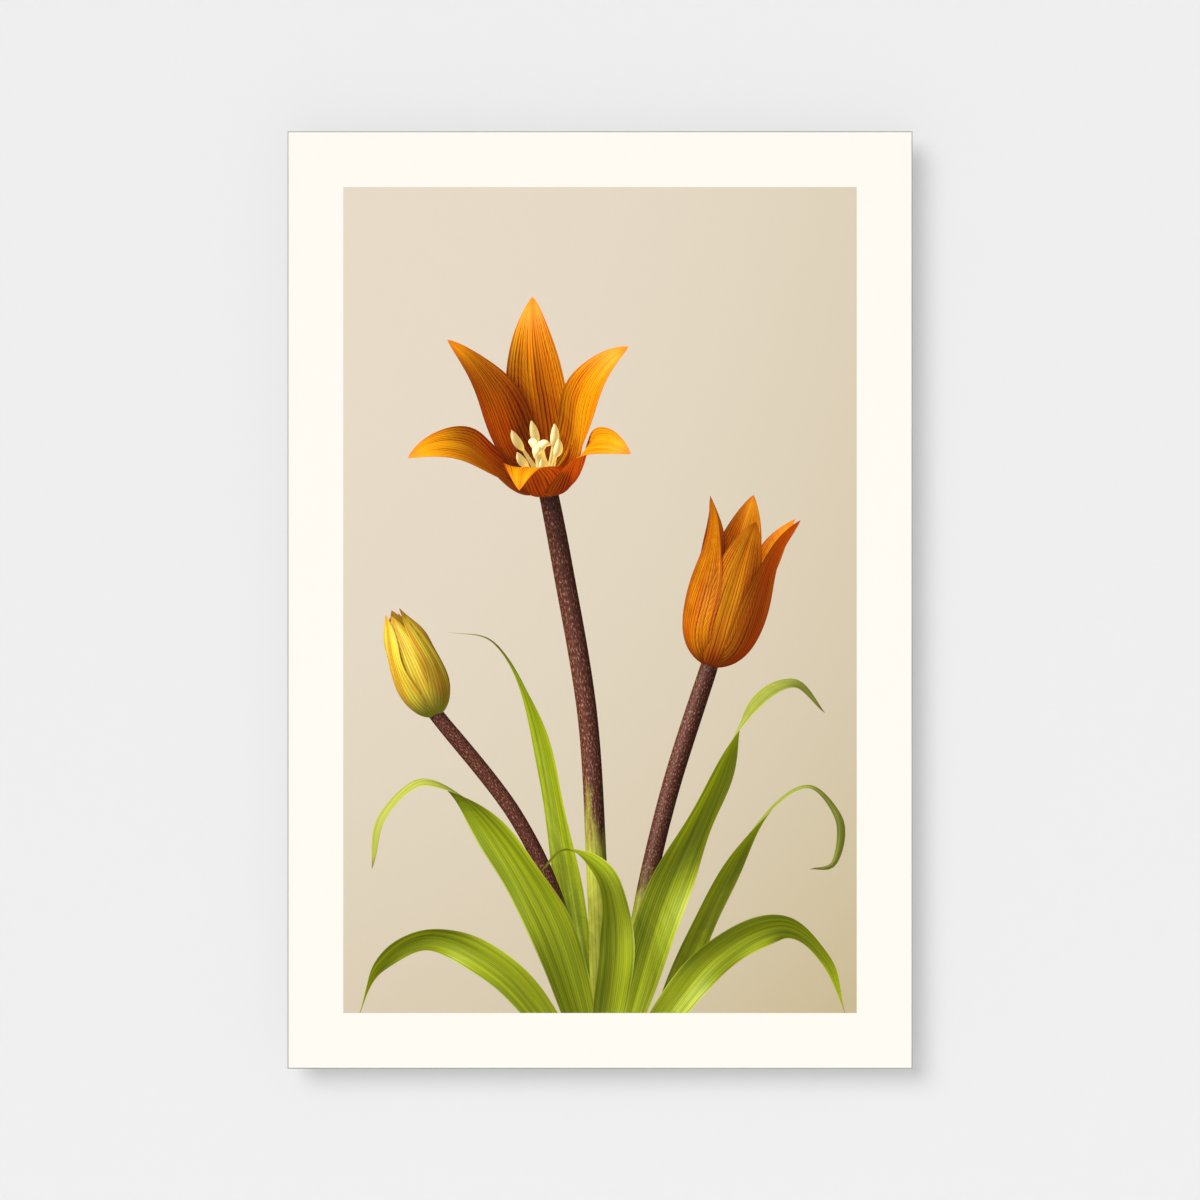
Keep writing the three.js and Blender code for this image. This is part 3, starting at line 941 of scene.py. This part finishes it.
def plain_ink(name, light, dark):
    ink = PlantInk(name)
    return ink.printed(ink.mix(ink.streaks(3.0, 6.0), light, dark))


def ground_ink(picture):
    """The picture's bare ground: darker to the right and in the lower corners, with a photograph's grain."""
    ink = Ink("ink_ground")
    x, _, z = ink.split(ink.place())
    left, bottom, right, top = picture
    across, down = ink.ramp(x, left, right), ink.ramp(z, top, bottom)
    shade = across**2.5 * 0.28 + down**3.0 * 0.42 + across * down * 0.28
    colour = ink.mix(shade, GROUND_LIGHT, GROUND_DARK)
    grain = ink.mix(ink.noise(ink.place(), 1500.0, 1.0), (0.985,) * 3, (1.015,) * 3)
    return ink.on_paper(ink.multiply(colour, grain))


def paper_ink():
    ink = Ink("paper")
    blotch = ink.mix(ink.noise(ink.place(), 40.0, 3.0), (0.996,) * 3, (1.0,) * 3)
    return ink.on_paper(ink.multiply(PAPER, blotch))


def inks(picture):
    """The materials, in the order of INKS."""
    return [
        paper_ink(),
        ground_ink(picture),
        petal_ink("ink_petal", light=linear(236, 158, 12), deep=linear(224, 122, 6),
                  heart=linear(190, 120, 18), vein=linear(116, 34, 4), flame=linear(184, 66, 6),
                  flame_share=0.55),
        petal_ink("ink_petal_inside", light=linear(240, 162, 10), deep=linear(230, 130, 5),
                  heart=linear(230, 184, 30), vein=linear(120, 34, 3), flame=linear(192, 74, 6),
                  flame_share=0.35),
        bud_ink(),
        leaf_ink("ink_leaf", linear(170, 180, 24), linear(124, 138, 16), linear(88, 104, 10)),
        leaf_ink("ink_leaf_under", linear(168, 170, 72), linear(134, 140, 54), linear(104, 114, 40)),
        stem_ink(),
        plain_ink("ink_cream", 1.3 * linear(255, 238, 182), 1.2 * linear(246, 222, 150)),
        plain_ink("ink_anther", 1.3 * linear(255, 240, 190), 1.2 * linear(246, 216, 140)),
    ]


# ---- The printed sheet ----

def new_object(name, data):
    piece = bpy.data.objects.new(name, data)
    bpy.context.scene.collection.objects.link(piece)
    return piece


def stand_in(piece, node):
    """Puts a piece in the place of its CAD node."""
    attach(piece, "root")
    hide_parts(node)


def sides_and_back(front, low, high):
    """The points and faces that close the sheet behind its front: a chamfer, four sides and the back."""
    corners = [(low.x, low.z), (high.x, low.z), (high.x, high.z), (low.x, high.z)]
    points = [(x, y, z) for y in (low.y + SHEET_CHAMFER, high.y) for x, z in corners]
    edge = [int(np.argmin(np.abs(front[:, 0] - x) + np.abs(front[:, 2] - z))) for x, z in corners]
    rim, rear = ([len(front) + start + k for k in range(4)] for start in (0, 4))
    faces = []
    for k in range(4):
        n = (k + 1) % 4
        for near, far in ((edge, rim), (rim, rear)):
            faces += [(near[k], far[k], far[n]), (near[k], far[n], near[n])]
    return points, faces + [(rear[0], rear[3], rear[2]), (rear[0], rear[2], rear[1])]


def store_corners(mesh, name, kind, field, values, bare):
    """Stores a value at each corner: those given for the front, and a bare one for the sides and back."""
    data = mesh.attributes.new(name, kind, "CORNER").data
    values = values.reshape(-1, len(bare))
    rest = np.tile(bare, (len(data) - len(values), 1))
    data.foreach_set(field, np.vstack([values, rest]).ravel())


def lay_flat(mesh, low, high, front_corners):
    """The map for a bake: the front at full height and, beside it, the back with the sides round it."""
    size = high - low
    spots = np.array([mesh.vertices[loop.vertex_index].co for loop in mesh.loops])
    flat = (spots[:, [0, 2]] - [low.x, low.z]) / size.z
    middle = np.array([size.x / size.z, 1.0]) / 2
    beside = np.array([(size.x / size.z + 1.0) / 2, 0.5])
    spread = BACK_ON_MAP * (1 + SIDE_SPREAD * (high.y - spots[:, 1]) / size.y)
    hidden = beside + (flat - middle) * spread[:, None] * [-1, 1]
    flat[front_corners:] = hidden[front_corners:]
    mesh.uv_layers.new(name="OFBake").data.foreach_set("uv", flat.ravel())


def print_sheet():
    """The paper with its picture, as one closed sheet that stands for the CAD's."""
    low, high = (Vector(corner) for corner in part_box("print_sheet"))
    panel_low, panel_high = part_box("panel_front_skin")
    left, right = panel_low[0] + PICTURE_MARGIN, panel_high[0] - PICTURE_MARGIN
    bottom, top = panel_low[2] + PICTURE_MARGIN, panel_high[2] - PICTURE_MARGIN
    centre = (left + right) / 2
    width, height = (right - left) / MM, (top - bottom) / MM
    sheet_box = ((low.x + SHEET_CHAMFER - centre) / MM, (low.z + SHEET_CHAMFER - bottom) / MM,
                 (high.x - SHEET_CHAMFER - centre) / MM, (high.z - SHEET_CHAMFER - bottom) / MM)
    flat, faces, ink, light, place = draw(Garden(plants()), width, height, sheet_box)
    front = np.stack([flat[:, 0] * MM + centre, np.full(len(flat), low.y), flat[:, 1] * MM + bottom], axis=1)
    points, behind = sides_and_back(front, low, high)

    mesh = bpy.data.meshes.new("print_sheet_printed")
    mesh.from_pydata(np.vstack([front, points]).tolist(), [], faces.tolist() + behind)
    for material in inks((left, bottom, right, top)):
        mesh.materials.append(material)
    slots = np.concatenate([ink, np.full(len(behind), INKS.index("paper"))])
    mesh.polygons.foreach_set("material_index", slots.astype(np.int32))
    store_corners(mesh, "studio_light", "FLOAT_COLOR", "color", light, BARE_LIGHT)
    store_corners(mesh, "plant_place", "FLOAT_VECTOR", "vector", place, BARE_PLACE)
    lay_flat(mesh, low, high, faces.size)
    mesh.update()
    stand_in(new_object("print_sheet_printed", mesh), "print_sheet")


# ---- Panel, rails and fittings: materials ----

def brushed_metal(name, colour, roughness, direction, contrast=0.03):
    """Metal with fine lines along one axis, fainter long streaks, and the dull patches left by handling."""
    metal = Material(name, roughness, metallic=1.0)

    def lines(across, along, detail):
        stretch = [along if axis == direction else across for axis in range(3)]
        where = metal.add("Mapping", {"Vector": metal.place(), "Scale": stretch})
        return metal.noise(where, 1.0, detail, 0.6)

    fine, long = lines(2600.0, 14.0, 2.0), lines(320.0, 2.5, 3.0)
    shade = (fine * contrast + (1.0 - contrast)) * (long * (0.8 * contrast) + (1.0 - 0.4 * contrast))
    metal.set("Base Color", metal.shaded(colour, shade))
    handled = metal.step(metal.noise(metal.place(), 9.0, 3.0), 0.35, 0.75)
    metal.set("Roughness", handled * 0.06 + (fine * 0.10 + (roughness - 0.08)))
    metal.bump(fine, 0.008 * MM, 0.3)
    return metal.material


def grained(name, colour, roughness, scale, relief_height):
    """Rubber, foam, polyethylene or film with a fine grain."""
    soft = Material(name, roughness, specular=0.4)
    grain = soft.noise(soft.place(), scale, 4.0, 0.6)
    dark, light = (tuple(share * part for part in colour) for share in (0.7, 1.4))
    soft.set("Base Color", soft.mix(grain, dark, light))
    soft.bump(grain, relief_height, 0.4)
    return soft.material


def cast_zinc():
    zinc = Material("key_zinc", roughness=0.42, metallic=1.0)
    blotch = zinc.noise(zinc.place(), 160.0, 4.0, 0.6)
    zinc.set("Base Color", zinc.mix(blotch, (0.42, 0.43, 0.44), (0.60, 0.61, 0.62)))
    zinc.set("Roughness", blotch * 0.2 + 0.32)
    zinc.bump(zinc.noise(zinc.place(), 2200.0), 0.03 * MM, 0.4)
    return zinc.material


def fitting_materials():
    """A material for each kind of CAD node, by the start of the node's name. The first that fits is used."""
    # The front skin is the same aluminium as the rear skin, with its grey painted darker: painted shade, so
    # that its thin rim round the print shows as a dark line.
    front = brushed_metal("skin_front_painted_shade", (0.47, 0.47, 0.465), 0.45, 2, 0.05)
    skin = brushed_metal("skin_mill_finish", (0.60, 0.60, 0.595), 0.40, 2, 0.05)
    across = brushed_metal("rail_anodised_across", (0.76, 0.76, 0.755), 0.34, 0)
    upright = brushed_metal("rail_anodised_upright", (0.76, 0.76, 0.755), 0.34, 2)
    steel = brushed_metal("screw_steel", (0.66, 0.66, 0.665), 0.26, 1)
    core = grained("core_polyethylene", (0.012, 0.012, 0.013), 0.55, 1800.0, 0.04 * MM)
    foam = grained("tape_foam", (0.045, 0.047, 0.050), 0.9, 2600.0, 0.08 * MM)
    rubber = grained("bumper_rubber", (0.020, 0.020, 0.021), 0.68, 1500.0, 0.03 * MM)
    film = grained("film_edge", (0.55, 0.54, 0.50), 0.4, 900.0, 0.08 * MM)
    return [("panel_core", core), ("panel_front", front), ("panel_", skin), ("adhesive_film", film),
            ("tape_", foam), ("rail_top", across), ("rail_bottom", across), ("rail_", upright),
            ("corner_key", cast_zinc()), ("key_screw", steel), ("bumper_", rubber)]


# ---- Panel, rails and fittings: pieces ----

# The parts whose sharp edges are rounded over, by the start of the node's name: their slot, how far, the
# shortest edge that is, and whether they're shaded smooth. A rail is extruded, so it's rounded along its
# length and not where it's cut, and no rim of a screw hole is rounded.
ROUNDED = {
    "rail_": ("rail", 0.40 * MM, 100 * MM, False),
    "corner_key": ("key", 0.30 * MM, 2 * MM, False),
    "key_screw": ("screw", 0.10 * MM, 0.0, True),
}
SHARP = 30.0                    # degrees between two faces that make an edge sharp
STILL_SMOOTH = 50.0             # most degrees between two faces with smooth shading across their edge
FLAT = 0.5                      # most degrees between two faces that are made one
SAME_POINT = 0.001 * MM

BUMPER_FOOT = (0.95, 0.12)      # its radius at its foot, and the height where it is widest, as shares
BUMPER_EDGE = 0.55              # the share of a bumper's height that its side stands straight
BUMPER_DOME = 0.12              # the share that its top rises from the rim to the middle
BUMPER_RINGS = 8                # over its rim, and again over its dome
BUMPER_STEPS = 72


def rounded(node, width, shortest):
    """The node's shape with its flats made whole and its longer sharp edges rounded over."""
    shape = bmesh.new()
    shape.from_mesh(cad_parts[node].data)
    bmesh.ops.remove_doubles(shape, verts=shape.verts, dist=SAME_POINT)
    bmesh.ops.dissolve_limit(shape, angle_limit=math.radians(FLAT), verts=shape.verts, edges=shape.edges)
    sharp = [edge for edge in shape.edges
             if edge.calc_length() > shortest and edge.calc_face_angle(0.0) > math.radians(SHARP)]
    bmesh.ops.bevel(shape, geom=sharp, offset=width, offset_type="OFFSET", segments=3, profile=0.5,
                    affect="EDGES", clamp_overlap=True)
    bmesh.ops.triangulate(shape, faces=[face for face in shape.faces if len(face.verts) > 4])
    return shape


def domed(node):
    """A round rubber foot with a rounded rim and a low dome, in the node's place."""
    low, high = (Vector(corner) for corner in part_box(node))
    centre, radius, height = (low + high) / 2, (high.x - low.x) / 2, high.y - low.y
    rim = height * (1 - BUMPER_EDGE - BUMPER_DOME)
    crown = radius - rim
    foot, widest = BUMPER_FOOT
    outline = [(0.0, 0.0), (foot * radius, 0.0), (radius, widest * height), (radius, BUMPER_EDGE * height)]
    for turn in np.linspace(0, math.pi / 2, BUMPER_RINGS + 1)[1:]:
        outline.append((crown + rim * math.cos(turn), BUMPER_EDGE * height + rim * math.sin(turn)))
    for share in np.linspace(1, 0, BUMPER_RINGS + 1)[1:]:
        outline.append((crown * share, height * (1 - BUMPER_DOME * share**2)))
    shape = bmesh.new()
    points = [shape.verts.new((centre.x + r, low.y + y, centre.z)) for r, y in outline]
    edges = [shape.edges.new(pair) for pair in zip(points, points[1:])]
    bmesh.ops.spin(shape, geom=points + edges, cent=(centre.x, low.y, centre.z), axis=(0, 1, 0),
                   angle=math.tau, steps=BUMPER_STEPS, use_merge=True)
    bmesh.ops.remove_doubles(shape, verts=shape.verts, dist=SAME_POINT)
    bmesh.ops.recalc_face_normals(shape, faces=shape.faces)
    return shape


def finished(node, shape, material, smooth):
    """Puts a finished piece in the place of its CAD node."""
    mesh = bpy.data.meshes.new(f"{node}_finished")
    shape.to_mesh(mesh)
    shape.free()
    mesh.materials.append(material)
    mesh.polygons.foreach_set("use_smooth", [smooth] * len(mesh.polygons))
    if smooth:
        mesh.set_sharp_from_angle(angle=math.radians(STILL_SMOOTH))
    stand_in(new_object(f"{node}_finished", mesh), node)


def finish_fittings():
    """Gives each CAD node its finish, or puts a finished piece with worked edges in its place."""
    materials = fitting_materials()
    for node, part in list(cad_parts.items()):
        fitting = [material for start, material in materials if node.startswith(start)]
        worked = [work for start, work in ROUNDED.items() if node.startswith(start)]
        if worked:
            slot, width, shortest, smooth = worked[0]
            finished(node, rounded(node, width, shortest), fitting[0], smooth)
        elif node.startswith("bumper_"):
            finished(node, domed(node), fitting[0], True)
        elif fitting:
            part.data.materials.clear()
            part.data.materials.append(fitting[0])


# ---- Room, light and camera ----

def paint(name, grey, one_sided=False):
    """A matt paint. One that is one-sided can't be seen from behind."""
    coat = Material(name, roughness=0.95, specular=0.1)
    tone = coat.noise(coat.place(), 3.0)
    coat.set("Base Color", coat.mix(tone, (grey * PAINT_BLOTCH,) * 3, (grey,) * 3))
    if one_sided:
        behind = coat.add("NewGeometry", output="Backfacing")
        sides = {0: behind, 1: Value(coat, coat.shader.outputs[0]), 2: coat.add("BsdfTransparent")}
        coat.plug(coat.tree.nodes["Material Output"].inputs["Surface"], coat.add("MixShader", sides))
    return coat.material


def plane(name, corners, material):
    mesh = bpy.data.meshes.new(name)
    mesh.from_pydata(corners, [], [(0, 1, 2, 3)])
    mesh.materials.append(material)
    piece = new_object(name, mesh)
    return piece


def room(centre, wall_y):
    """A pale floor, and a pale wall that the bumpers touch. The wall shows only from the front."""
    floor_z = centre.z - FLOOR_DROP
    top_z = floor_z + STAGE_SIZE
    half = STAGE_SIZE / 2
    wall = [(x, wall_y, z) for x, z in ((-half, floor_z), (half, floor_z), (half, top_z), (-half, top_z))]
    floor = [(x, y, floor_z) for x, y in ((-half, -half), (half, -half), (half, half), (-half, half))]
    back = plane("wall", wall, paint("wall_paint", WALL_GREY, one_sided=True))
    back.visible_shadow = False
    back.visible_glossy = False
    back.visible_diffuse = False
    plane("floor", floor, paint("floor_paint", FLOOR_GREY))


def sun(name, direction, level, width, shadow=True, bounces=12):
    """Light from far away, where direction points. level is how bright it makes a white, upright face."""
    aim = Vector(direction).normalized()
    lamp = bpy.data.lights.new(name, "SUN")
    lamp.energy = level * math.pi / abs(aim.y)
    lamp.angle = math.radians(width)
    lamp.use_shadow = shadow
    lamp.cycles.max_bounces = bounces
    piece = new_object(name, lamp)
    piece.rotation_mode = "QUATERNION"
    piece.rotation_quaternion = aim.to_track_quat("Z", "Y")


def light_the_room():
    """A soft key from the upper left and an even fill from the front.

    The wall lets light through from behind, for the fittings. That light isn't thrown on by what it falls
    on, so the gap behind the panel stays dark.
    """
    sun("key", (-0.56, -1.0, 0.54), KEY_LEVEL, KEY_WIDTH)
    sun("fill", (0.80, -1.0, -0.55), FILL_LEVEL, FILL_WIDTH, shadow=False, bounces=0)
    sun("rear_fill", (-0.5, 1.0, 0.7), REAR_LEVEL, REAR_WIDTH, bounces=0)
    bpy.context.scene.world = studio_world()
    bpy.context.scene.view_settings.view_transform = "Standard"


def studio_world():
    """Dim in front and brighter behind, but not for light thrown on by matt surfaces; pale to the camera."""
    world = bpy.data.worlds.new("studio")
    nodes = Nodes(world)
    _, depth, _ = nodes.split(nodes.add("TexCoord", output="Generated"))
    early = nodes.math("LESS_THAN", nodes.add("LightPath", output="Diffuse Depth"), 0.5)
    light = nodes.ramp(depth, 0.0, REAR_SKY_FROM) * (REAR_SKY - SKY) * early + SKY
    seen = nodes.add("LightPath", output="Is Camera Ray")
    background = nodes.tree.nodes["Background"].inputs
    nodes.plug(background["Color"], (1.0, 1.0, 1.0))
    nodes.plug(background["Strength"], (BACKDROP - light) * seen + light)
    return world


def camera(centre, front_y):
    """Level with the middle of the print, at the distance that gives the sheet its width in the photo."""
    low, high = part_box("panel_front_skin")
    view_width = (high[0] - low[0]) * PHOTO_WIDTH / SHEET_WIDTH_IN_PHOTO
    data = bpy.data.cameras.new("camera")
    data.lens = LENS
    data.sensor_width = SENSOR
    piece = new_object("camera", data)
    piece.location = (centre.x, front_y - view_width * LENS / SENSOR, centre.z)
    piece.rotation_euler = (math.pi / 2, 0.0, 0.0)
    bpy.context.scene.camera = piece


def main():
    low, high = (Vector(corner) for corner in CAD_BOX)
    centre = (low + high) / 2
    camera(centre, low.y)
    light_the_room()
    room(centre, high.y)
    finish_fittings()
    print_sheet()
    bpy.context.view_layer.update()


main()
